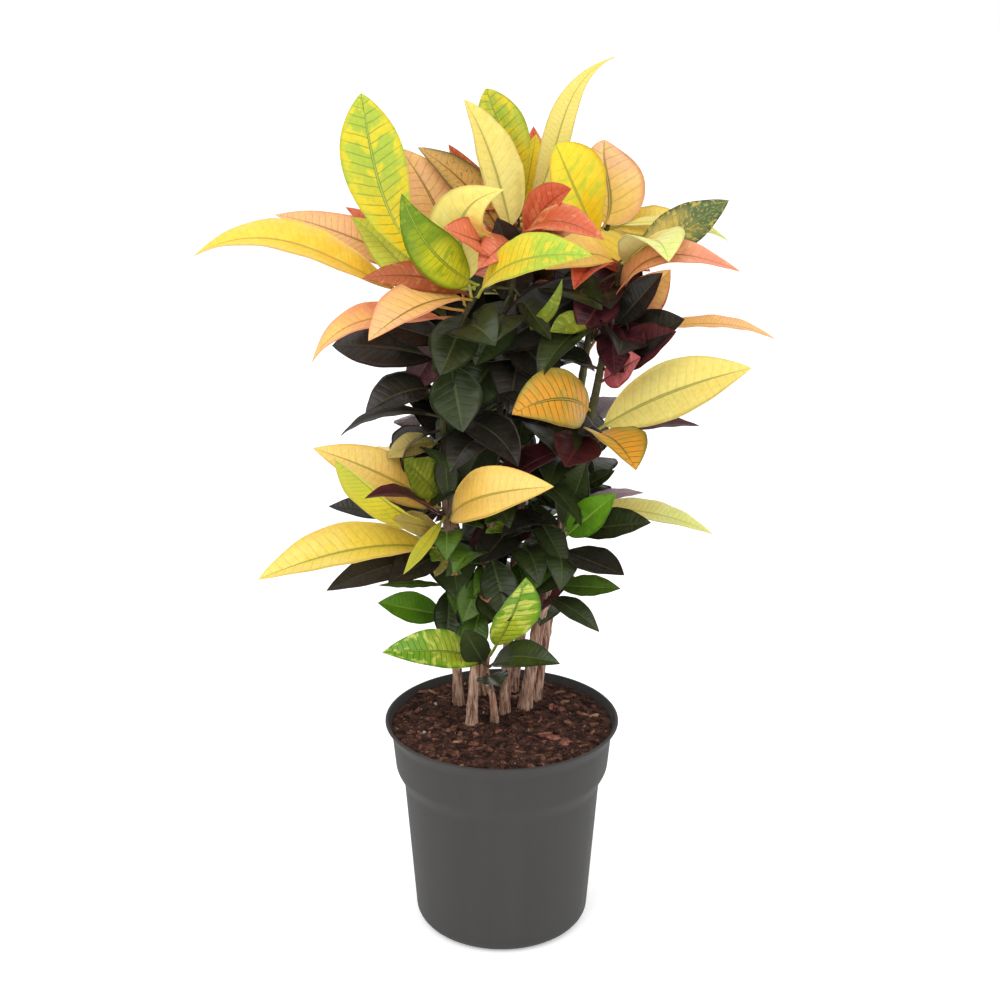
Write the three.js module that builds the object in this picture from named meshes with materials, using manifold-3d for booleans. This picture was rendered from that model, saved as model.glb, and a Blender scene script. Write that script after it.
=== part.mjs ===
// Potted croton: woody stems, planted in bark soil in a round nursery pot, carry broad leaves
// that go from dark green and maroon inside to lime, yellow and coral at the top.
// Millimetres, +Z up. The pot stands on z = 0 with its axis on Z, and its front faces -Y.

import * as THREE from 'three';
import { mergeVertices } from 'three/addons/utils/BufferGeometryUtils.js';
import Module from 'manifold-3d';

const wasm = await Module();
wasm.setup();

// ---- Driving dimensions ----------------------------------------------------------------------

const GAP = 0.3;                  // clearance between pieces that touch

const POT_HEIGHT = 196;
const RIM_RADIUS = 105;           // outer edge of the flared lip round the mouth
const RIM_WIDTH = 2.8;
const RIM_ROUND = 1.1;
const LIP_HEIGHT = 184;           // where the band begins to flare out to the rim
const LIP_SLANT = 26;             // degrees from upright
const BAND_TOP_RADIUS = 99;       // the wide band under the lip
const BAND_FOOT_RADIUS = 96.2;
const BAND_FOOT_HEIGHT = 154;
const SHOULDER_RADIUS = 88.6;     // where the band has stepped in to the tapered body
const SHOULDER_HEIGHT = 134;
const SHOULDER_STEPS = 4;
const FOOT_RADIUS = 79.5;         // the tapered body just above its rounded foot
const FOOT_ROUND = 11;
const WALL = 2.2;
const POT_SEGMENTS = 48;
const DRAIN_HOLES = 8;
const DRAIN_HOLE_RADIUS = 5;
const DRAIN_CIRCLE_RADIUS = 54;

const SOIL_HEIGHT = 190;          // level of the soil at the lip
const SOIL_CROWN = 2.5;           // how far the soil rises towards the middle

const STEM_TIP_RADIUS = 2.4;
const STEM_SIDES = 8;
const STEM_STEPS = 18;

const STALK_WIDTH = 3;            // the leaf stalk, oval in section
const MIDRIB_THICKNESS = 2.4;     // leaf thickness at the foot of its stalk
const TIP_THICKNESS = 0.9;
const TIP_WIDTH = 0.8;
const BASE_FULLNESS = 0.7;        // below 1 makes the outline fuller than a sine curve
const BLADE_STATIONS = [0, 0.12, 0.28, 0.45, 0.62, 0.78, 0.91, 1];

// ---- The plant: stems and leaves -------------------------------------------------------------

// Each stem is a smooth curve from inside the soil to its growing tip, with its radius there.
const STEMS = {
  left: {
    radius: 4.6,
    curve: [[-39, 36, 165], [-42, 30, 260], [-46, 18, 330], [-48, 6, 380], [-50, -2, 450],
      [-44, -8, 530], [-18, -10, 588]],
  },
  front: {
    radius: 4.8,
    curve: [[-28, -10, 165], [-24, -6, 240], [-14, 4, 330], [-6, 10, 420], [2, 12, 520],
      [14, 10, 630]],
  },
  middle: {
    radius: 4.6,
    curve: [[2, 12, 165], [5, 18, 250], [12, 30, 340], [22, 38, 440], [22, 48, 540],
      [12, 60, 640]],
  },
  right: {
    radius: 5.8,
    curve: [[18, 26, 165], [34, 24, 280], [49, 12, 355], [62, 2, 415], [74, 0, 468],
      [86, 8, 530], [99, 20, 602]],
  },
  back_right: {
    radius: 5.2,
    curve: [[28, 42, 165], [44, 48, 285], [58, 52, 400], [74, 56, 520], [91, 62, 632]],
  },
  back_left: {
    radius: 5,
    curve: [[-14, 52, 165], [-34, 72, 300], [-54, 90, 420], [-62, 98, 560]],
  },
  back: {
    radius: 5,
    curve: [[6, 60, 165], [26, 84, 300], [38, 112, 420], [34, 122, 570]],
  },
  shoot: {
    radius: 3.2,
    curve: [[-5, -2, 165], [-8, -4, 215], [-14, -8, 242], [-12, -12, 266]],
  },
};

// Leaf colours, from young lime and yellow at the top to old dark leaves inside.
const TONES = {
  lime: 0xbfcc3c,
  pale_lime: 0xd2dc70,
  sunrise: 0xcfc83c,
  citrus: 0xcfcc44,
  variegated: 0xa0b430,
  bright: 0x7fae20,
  bright_green: 0x568412,
  green: 0x48651a,
  cream: 0xe8dc7c,
  lemon: 0xe8cf62,
  gold: 0xe9cc34,
  golden: 0xe2bc54,
  blush: 0xe6c258,
  peach: 0xe4ac6a,
  pale_peach: 0xe8be8a,
  apricot: 0xe0a468,
  dusky: 0xe2b268,
  amber: 0xd29a38,
  coral: 0xcc7454,
  coral_peach: 0xd88a68,
  speckled: 0x5a6424,
  dark_green: 0x30391c,
  bottle: 0x344529,
  dark: 0x26231c,
  maroon: 0x471e22,
};

// Each leaf: name, stem, the height at which it leaves the stem, tip, width, the way its upper
// face looks, and tone. What bends it is optional: arch lifts the midrib towards the upper face
// and sway moves it to the leaf's left, both as [nearer the stalk, nearer the tip]. stalk is the
// stalk's share of the length, peak is where along the blade it is widest, point is how slender
// the tip is, and fold is how many degrees each half rises.
const LEAVES = [
  ['left_1', 'left', 584, [-110, -25, 741], 52, [-0.05, -0.95, 0.25], 'lime',
    { sway: [38, 17], peak: 0.7, point: 0.8, fold: 14 }],
  ['left_2', 'left', 566, [-249, -20, 614], 46, [0.05, -0.45, 0.88], 'blush',
    { arch: [-8, 58], peak: 0.5, stalk: 0.26 }],
  ['left_3', 'left', 588, [-76, -84, 670], 39, [-0.15, -0.85, 0.45], 'bright',
    { sway: [10, 10], peak: 0.4 }],
  ['left_4', 'left', 570, [-83, 6, 697], 50, [0.3, -0.8, 0.5], 'peach',
    { sway: [-10, -10], stalk: 0.2 }],
  ['left_5', 'left', 580, [68, -100, 626], 44, [-0.1, -0.7, 0.7], 'sunrise', { arch: [20, 20] }],
  ['left_6', 'left', 576, [-103, -96, 560], 52, [-0.2, -0.5, 0.85], 'peach',
    { arch: [12, 12], fold: 26 }],
  ['left_7', 'left', 560, [-156, -26, 528], 36, [-0.4, -0.5, 0.8], 'apricot',
    { arch: [10, 36], stalk: 0.12 }],
  ['left_8', 'left', 524, [-142, 0, 536], 50, [-0.1, -0.75, 0.7], 'dark', { arch: [10, 8] }],
  ['left_9', 'left', 500, [-112, -40, 488], 42, [-0.2, -0.6, 0.8], 'dark', { arch: [10, 10] }],
  ['left_10', 'left', 392, [-157, -32, 456], 42, [0.2, -0.8, 0.6], 'golden',
    { arch: [12, 12], fold: 18, stalk: 0.03 }],
  ['left_11', 'left', 368, [-134, -82, 460], 48, [-0.5, -0.8, 0.05], 'citrus',
    { sway: [14, 0], fold: 26 }],
  ['left_12', 'left', 352, [-205, -52, 347], 56, [0, -0.4, 0.9], 'lemon',
    { arch: [18, 14], fold: 28 }],
  ['left_13', 'left', 284, [-108, -12, 310], 30, [0.1, -0.8, 0.6], 'bright_green'],
  ['left_14', 'left', 382, [41, -92, 441], 47, [-0.1, -0.8, 0.6], 'golden', { arch: [22, 18] }],
  ['left_15', 'left', 578, [2, -42, 669], 54, [0, -0.9, 0.45], 'cream',
    { sway: [11, 37], stalk: 0.14, peak: 0.48, point: 1.1, fold: 12 }],
  ['front_1', 'front', 608, [-68, 10, 697], 36, [0.6, -0.8, 0.5], 'dusky',
    { arch: [4, 4], sway: [-10, -9] }],
  ['front_2', 'front', 624, [-30, 0, 735], 54, [0.85, -0.7, 0.25], 'cream',
    { sway: [-4, -10], peak: 0.42 }],
  ['front_3', 'front', 620, [80, -50, 631], 36, [0, -0.6, 0.8], 'coral', { arch: [20, 20] }],
  ['front_4', 'front', 470, [-39, 0, 402], 44, [-0.2, -0.9, 0.4], 'bottle'],
  ['middle_1', 'middle', 632, [-13, 34, 742], 46, [0.1, -0.95, 0.3], 'lime',
    { sway: [-6, -4], peak: 0.62, point: 0.7 }],
  ['middle_2', 'middle', 636, [90, 24, 767], 26, [-0.3, -0.9, 0.3], 'cream',
    { sway: [-14, 29], peak: 0.45, point: 1.3 }],
  ['right_1', 'right', 598, [188, 26, 653], 42, [-0.3, -0.8, 0.6], 'speckled'],
  ['right_2', 'right', 574, [192, -24, 602], 43, [0, -0.5, 0.87], 'coral_peach',
    { arch: [36, 26], peak: 0.32, stalk: 0.01 }],
  ['right_3', 'right', 528, [148, -30, 564], 42, [-0.2, -0.7, 0.7], 'dark'],
  ['right_4', 'right', 548, [228, 4, 541], 20, [0, -0.35, 0.95], 'peach',
    { arch: [2, 18], stalk: 0.25 }],
  ['right_5', 'right', 462, [201, -50, 528], 54, [-0.2, -0.8, 0.55], 'cream', { sway: [8, 6] }],
  ['right_6', 'right', 480, [8, -90, 500], 54, [0, -0.9, 0.45], 'amber',
    { arch: [12, 10], sway: [-6, -8], fold: 14, stalk: 0.03 }],
  ['right_7', 'right', 460, [106, -96, 456], 52, [0.3, -0.7, 0.6], 'amber',
    { arch: [10, 10], fold: 26 }],
  ['right_8', 'right', 366, [93, -64, 426], 30, [-0.1, -0.9, 0.4], 'bright_green'],
  ['right_9', 'right', 372, [126, -30, 390], 34, [0, -0.6, 0.8], 'bottle'],
  ['right_10', 'right', 354, [102, -60, 354], 32, [0, -0.6, 0.8], 'dark'],
  ['back_right_1', 'back_right', 610, [44, 14, 699], 63, [0.4, -0.85, 0.4], 'gold',
    { arch: [3, 2], sway: [3, 3], peak: 0.62, point: 0.55, stalk: 0.04 }],
  ['back_right_2', 'back_right', 626, [86, 52, 700], 60, [0.1, -0.95, 0.3], 'pale_peach',
    { sway: [-10, 3], peak: 0.42, point: 0.65, stalk: 0.04 }],
  ['back_right_3', 'back_right', 378, [187, 28, 360], 28, [0, -0.4, 0.9], 'pale_lime',
    { arch: [8, 14] }],
  ['back_right_4', 'back_right', 520, [148, 170, 548], 44, [0.2, 0.4, 0.9], 'coral',
    { arch: [12, 12] }],
  ['back_right_5', 'back_right', 440, [138, 168, 444], 42, [0.2, 0.4, 0.9], 'maroon',
    { arch: [12, 12] }],
  ['back_left_1', 'back_left', 552, [-132, 190, 606], 46, [-0.2, 0.4, 0.9], 'lime',
    { arch: [8, 8] }],
  ['back_left_2', 'back_left', 542, [-96, 222, 566], 44, [0, 0.4, 0.9], 'peach',
    { arch: [14, 14] }],
  ['back_left_3', 'back_left', 480, [-106, 205, 490], 44, [-0.1, 0.4, 0.9], 'dark',
    { arch: [12, 12] }],
  ['back_left_4', 'back_left', 400, [-132, 165, 392], 42, [-0.3, 0.4, 0.9], 'lemon',
    { arch: [12, 12] }],
  ['back_left_5', 'back_left', 320, [-108, 150, 306], 36, [-0.2, 0.4, 0.9], 'green',
    { arch: [10, 10] }],
  ['back_1', 'back', 566, [28, 124, 706], 44, [0, -0.9, 0.4], 'coral'],
  ['back_2', 'back', 560, [-26, 215, 650], 46, [0, 0.4, 0.9], 'gold', { arch: [12, 12] }],
  ['back_3', 'back', 556, [104, 205, 628], 44, [0.1, 0.4, 0.9], 'peach', { arch: [12, 12] }],
  ['back_4', 'back', 500, [22, 240, 540], 46, [0, 0.4, 0.9], 'dark', { arch: [14, 14] }],
  ['back_5', 'back', 430, [62, 235, 452], 42, [0, 0.4, 0.9], 'green', { arch: [12, 12] }],
  ['back_6', 'back', 340, [66, 205, 352], 38, [0, 0.4, 0.9], 'dark', { arch: [12, 12] }],
  ['shoot_1', 'shoot', 262, [20, -62, 352], 46, [0.44, -1, -0.1], 'variegated',
    { sway: [-3, -3], stalk: 0.14, fold: 24 }],
  ['shoot_2', 'shoot', 254, [-99, -88, 296], 38, [0.1, -0.7, 0.7], 'variegated',
    { arch: [14, 10] }],
  ['shoot_3', 'shoot', 250, [49, -66, 276], 32, [0, -0.6, 0.8], 'dark_green', { arch: [12, 12] }],
];

// ---- Tools -----------------------------------------------------------------------------------

const plant = new THREE.Group();

function addPiece(name, geometry, color, roughness) {
  const material = new THREE.MeshStandardMaterial({ color, roughness, metalness: 0 });
  const mesh = new THREE.Mesh(geometry, material);
  mesh.name = name;
  plant.add(mesh);
}

// A closed solid through a row of rings that run the same way round, with a flat cap at each end.
// The two halves of each ring are split along mirrored diagonals, so a thin blade's faces match.
function loft(rings) {
  const sides = rings[0].length;
  const last = (rings.length - 1) * sides;
  const faces = [];
  for (let ring = 0; ring < last; ring += sides) {
    for (let side = 0; side < sides; side++) {
      const here = ring + side;
      const next = ring + (side + 1) % sides;
      if (side < sides / 2) {
        faces.push(here, next, here + sides);
        faces.push(next, next + sides, here + sides);
      } else {
        faces.push(here, next, next + sides);
        faces.push(here, next + sides, here + sides);
      }
    }
  }
  for (let side = 1; side < sides - 1; side++) {
    faces.push(0, side + 1, side);
    faces.push(last, last + side, last + side + 1);
  }
  const geometry = new THREE.BufferGeometry();
  geometry.setFromPoints(rings.flat());
  geometry.setIndex(faces);
  return geometry;
}

function toSolid(geometry) {
  const bare = geometry.clone();
  bare.deleteAttribute('normal');
  bare.deleteAttribute('uv');
  const merged = mergeVertices(bare, 1e-4);
  return new wasm.Manifold(new wasm.Mesh({
    numProp: 3,
    vertProperties: merged.attributes.position.array,
    triVerts: Uint32Array.from(merged.index.array),
  }));
}

function toGeometry(solid) {
  const mesh = solid.getMesh();
  const geometry = new THREE.BufferGeometry();
  geometry.setAttribute('position', new THREE.BufferAttribute(mesh.vertProperties, 3));
  geometry.setIndex(new THREE.BufferAttribute(mesh.triVerts, 1));
  return geometry;
}

function turnedSolid(profile, segments) {
  const points = profile.map(([radius, height]) => new THREE.Vector2(radius, height));
  return toSolid(new THREE.LatheGeometry(points, segments).rotateX(Math.PI / 2));
}

// Points of a round corner, from one angle to another in degrees, both ends included.
function corner(centre, radius, from, to, steps) {
  return Array.from({ length: steps + 1 }, (_, step) => {
    const angle = THREE.MathUtils.degToRad(from + (to - from) * step / steps);
    return [centre[0] + radius * Math.cos(angle), centre[1] + radius * Math.sin(angle)];
  });
}

// ---- Pot -------------------------------------------------------------------------------------

// The wall from the foot's round up to the lip, moved in by an inset. The shoulder widens beyond
// the body's own taper in a soft step.
function wallProfile(inset) {
  const taper = (SHOULDER_RADIUS - FOOT_RADIUS) / (SHOULDER_HEIGHT - FOOT_ROUND);
  const rise = BAND_FOOT_HEIGHT - SHOULDER_HEIGHT;
  const widening = BAND_FOOT_RADIUS - SHOULDER_RADIUS - taper * rise;
  const shoulder = Array.from({ length: SHOULDER_STEPS + 1 }, (_, step) => {
    const share = step / SHOULDER_STEPS;
    const bulge = widening * THREE.MathUtils.smoothstep(share, 0, 1);
    const radius = SHOULDER_RADIUS + taper * rise * share + bulge;
    return [radius - inset, SHOULDER_HEIGHT + rise * share];
  });
  const foot = corner([FOOT_RADIUS - FOOT_ROUND, FOOT_ROUND], FOOT_ROUND - inset, -90, 0, 4);
  return [...foot, ...shoulder, [BAND_TOP_RADIUS - inset, LIP_HEIGHT]];
}

function makePot() {
  const profile = [
    [0, 0],
    ...wallProfile(0),
    ...corner([RIM_RADIUS - RIM_ROUND, POT_HEIGHT - RIM_ROUND], RIM_ROUND, -LIP_SLANT, 90, 4),
    [RIM_RADIUS - RIM_WIDTH, POT_HEIGHT],
    ...wallProfile(WALL).reverse(),
    [0, WALL],
  ];
  let pot = turnedSolid(profile, POT_SEGMENTS);
  for (let hole = 0; hole < DRAIN_HOLES; hole++) {
    const drill = new THREE.CylinderGeometry(DRAIN_HOLE_RADIUS, DRAIN_HOLE_RADIUS, 6 * WALL, 20);
    drill.rotateX(Math.PI / 2);
    drill.translate(DRAIN_CIRCLE_RADIUS, 0, 0);
    drill.rotateZ((hole + 0.5) * 2 * Math.PI / DRAIN_HOLES);
    pot = pot.subtract(toSolid(drill));
  }
  addPiece('pot', toGeometry(pot), 0x3f3e3c, 0.55);
}

// ---- Stems -----------------------------------------------------------------------------------

function stemCurve(name) {
  const points = STEMS[name].curve.map((place) => new THREE.Vector3(...place));
  return new THREE.CatmullRomCurve3(points, false, 'catmullrom', 0.5);
}

function stemRadius(name, share) {
  return THREE.MathUtils.lerp(STEMS[name].radius, STEM_TIP_RADIUS, share);
}

// A tapered stem, made wider all round by spread.
function stemGeometry(name, spread) {
  const curve = stemCurve(name);
  const rings = Array.from({ length: STEM_STEPS + 1 }, (_, step) => {
    const share = step / STEM_STEPS;
    const centre = curve.getPoint(share);
    const along = curve.getTangent(share);
    const across = new THREE.Vector3(0, 1, 0).cross(along).normalize();
    const back = along.clone().cross(across);
    return Array.from({ length: STEM_SIDES }, (_, side) => {
      const angle = side * 2 * Math.PI / STEM_SIDES;
      const radius = stemRadius(name, share) + spread;
      return centre.clone()
        .addScaledVector(across, radius * Math.cos(angle))
        .addScaledVector(back, radius * Math.sin(angle));
    });
  });
  return loft(rings);
}

function makeStems() {
  for (const name of Object.keys(STEMS)) {
    addPiece(`stem_${name}`, stemGeometry(name, 0), 0x9a7a60, 0.9);
  }
}

// ---- Soil ------------------------------------------------------------------------------------

function makeSoil() {
  const inset = WALL + GAP;
  const lipShare = (SOIL_HEIGHT - LIP_HEIGHT) / (POT_HEIGHT - LIP_HEIGHT);
  const edge = THREE.MathUtils.lerp(BAND_TOP_RADIUS - WALL, RIM_RADIUS - RIM_WIDTH, lipShare) - GAP;
  const mound = [1, 0.75, 0.5, 0.25, 0].map((share) => [
    edge * share,
    SOIL_HEIGHT + SOIL_CROWN * Math.cos(share * Math.PI / 2),
  ]);
  let soil = turnedSolid([[0, inset], ...wallProfile(inset), ...mound], POT_SEGMENTS);
  for (const name of Object.keys(STEMS)) {
    soil = soil.subtract(toSolid(stemGeometry(name, GAP)));
  }
  addPiece('soil', toGeometry(soil), 0x3c2824, 1);
}

// ---- Leaves ----------------------------------------------------------------------------------

// The place on a stem's curve at a height, with the share of the curve below it.
function placeOnStem(curve, height) {
  let below = 0;
  let above = 1;
  for (let step = 0; step < 20; step++) {
    const share = (below + above) / 2;
    if (curve.getPoint(share).z < height) {
      below = share;
    } else {
      above = share;
    }
  }
  return [curve.getPoint(below), curve.getTangent(below), below];
}

// The part of a direction that is square to another one, at unit length.
function squareTo(direction, along) {
  return direction.clone().addScaledVector(along, -direction.dot(along)).normalize();
}

// Half the blade's width, as a share of its full width, from 0 at its foot to 1 at its tip.
function bladeHalf(station, peak, point) {
  const shifted = station ** (Math.log(0.5) / Math.log(peak));
  const fullness = shifted < 0.5 ? BASE_FULLNESS : point;
  return 0.5 * Math.max(Math.sin(Math.PI * shifted), 0) ** fullness;
}

function leafGeometry(stem, height, tipPlace, width, facePlace, bends) {
  const {
    arch = [0, 0], sway = [0, 0], stalk = 0.08, peak = 0.5, point: slender = 0.9, fold = 22,
  } = bends;
  const [axis, stemAlong, stemShare] = placeOnStem(stemCurve(stem), height);
  const tip = new THREE.Vector3(...tipPlace);
  const face = new THREE.Vector3(...facePlace);
  const reach = tip.clone().sub(axis).normalize();
  const outward = squareTo(reach, stemAlong);
  const lean = Math.abs(reach.dot(stemAlong));
  const clearance = 2 * GAP + lean * STALK_WIDTH / 2;
  const foot = axis.clone().addScaledVector(outward, stemRadius(stem, stemShare) + clearance);
  const chord = tip.clone().sub(foot);
  const along = chord.clone().normalize();
  const up = squareTo(face, along);
  const left = up.clone().cross(along);
  const [near, far] = [0, 1].map((end) => foot.clone()
    .addScaledVector(chord, (end + 1) / 3)
    .addScaledVector(up, arch[end] * 4 / 3)
    .addScaledVector(left, sway[end] * 4 / 3));
  const midrib = new THREE.CubicBezierCurve3(foot, near, far, tip);
  const rise = THREE.MathUtils.degToRad(fold);

  const ring = (station, halfWidth) => {
    const centre = midrib.getPoint(station);
    const over = squareTo(face, midrib.getTangent(station));
    const across = over.clone().cross(midrib.getTangent(station));
    const halfThickness = THREE.MathUtils.lerp(MIDRIB_THICKNESS, TIP_THICKNESS, station) / 2;
    const point = (sideways, upwards) => centre.clone()
      .addScaledVector(across, sideways)
      .addScaledVector(over, upwards);
    return [
      point(halfWidth * Math.cos(rise), halfWidth * Math.sin(rise)),
      point(0, halfThickness),
      point(-halfWidth * Math.cos(rise), halfWidth * Math.sin(rise)),
      point(0, -halfThickness),
    ];
  };
  const blade = BLADE_STATIONS.map((station) => ring(
    stalk + (1 - stalk) * station,
    Math.max(width * bladeHalf(station, peak, slender), (station < 0.5 ? STALK_WIDTH : TIP_WIDTH) / 2),
  ));
  return loft([ring(0, STALK_WIDTH / 2), ...blade]);
}

function makeLeaves() {
  for (const [name, stem, height, tip, width, face, tone, bends = {}] of LEAVES) {
    const geometry = leafGeometry(stem, height, tip, width, face, bends);
    addPiece(`leaf_${name}`, geometry, TONES[tone], 0.4);
  }
}

makePot();
makeStems();
makeSoil();
makeLeaves();

export default plant;
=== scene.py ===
"""Looks of the potted croton: leaves, stems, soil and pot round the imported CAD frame."""

import math
import random

import bpy
import numpy as np
from mathutils import Matrix, Vector, noise


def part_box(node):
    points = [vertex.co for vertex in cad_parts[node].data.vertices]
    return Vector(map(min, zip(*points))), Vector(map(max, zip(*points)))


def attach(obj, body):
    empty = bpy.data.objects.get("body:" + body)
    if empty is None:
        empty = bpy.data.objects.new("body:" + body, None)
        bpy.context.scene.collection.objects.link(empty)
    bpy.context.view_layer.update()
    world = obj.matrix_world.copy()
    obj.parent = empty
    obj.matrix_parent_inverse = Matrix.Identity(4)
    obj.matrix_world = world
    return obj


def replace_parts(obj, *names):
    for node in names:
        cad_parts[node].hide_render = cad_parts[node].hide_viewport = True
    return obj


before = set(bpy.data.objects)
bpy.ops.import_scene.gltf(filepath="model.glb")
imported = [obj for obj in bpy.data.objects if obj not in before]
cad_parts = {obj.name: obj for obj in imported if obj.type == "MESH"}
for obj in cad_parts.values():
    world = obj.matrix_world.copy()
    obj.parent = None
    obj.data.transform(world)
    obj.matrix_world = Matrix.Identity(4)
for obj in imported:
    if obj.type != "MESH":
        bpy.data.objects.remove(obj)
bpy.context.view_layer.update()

MM = 0.001

# ---- The plant, in millimetres, as in the CAD source ----

STEM_TIP_RADIUS = 2.4
STALK_WIDTH = 3
STALK_GAP = 0.6  # between a stem and the foot of a stalk

# Each stem: its radius in the soil, and its curve from there to its growing tip.
STEMS = {
    "left": (4.6, [(-39, 36, 165), (-42, 30, 260), (-46, 18, 330), (-48, 6, 380), (-50, -2, 450),
        (-44, -8, 530), (-18, -10, 588)]),
    "front": (4.8, [(-28, -10, 165), (-24, -6, 240), (-14, 4, 330), (-6, 10, 420), (2, 12, 520),
        (14, 10, 630)]),
    "middle": (4.6, [(2, 12, 165), (5, 18, 250), (12, 30, 340), (22, 38, 440), (22, 48, 540),
        (12, 60, 640)]),
    "right": (5.8, [(18, 26, 165), (34, 24, 280), (49, 12, 355), (62, 2, 415), (74, 0, 468),
        (86, 8, 530), (99, 20, 602)]),
    "back_right": (5.2, [(28, 42, 165), (44, 48, 285), (58, 52, 400), (74, 56, 520), (91, 62, 632)]),
    "back_left": (5, [(-14, 52, 165), (-34, 72, 300), (-54, 90, 420), (-62, 98, 560)]),
    "back": (5, [(6, 60, 165), (26, 84, 300), (38, 112, 420), (34, 122, 570)]),
    "shoot": (3.2, [(-5, -2, 165), (-8, -4, 215), (-14, -8, 242), (-12, -12, 266)]),
}

# Ways that a leaf's upper face looks, from nearly up to nearly forwards, and to the back.
LEVEL = (0, -0.4, 0.9)
TILTED = (0, -0.6, 0.8)
SLOPED = (0, -0.7, 0.7)
STEEP = (0, -0.8, 0.6)
UPRIGHT = (0, -0.9, 0.4)
BACKWARD = (0, 0.4, 0.9)

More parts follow.
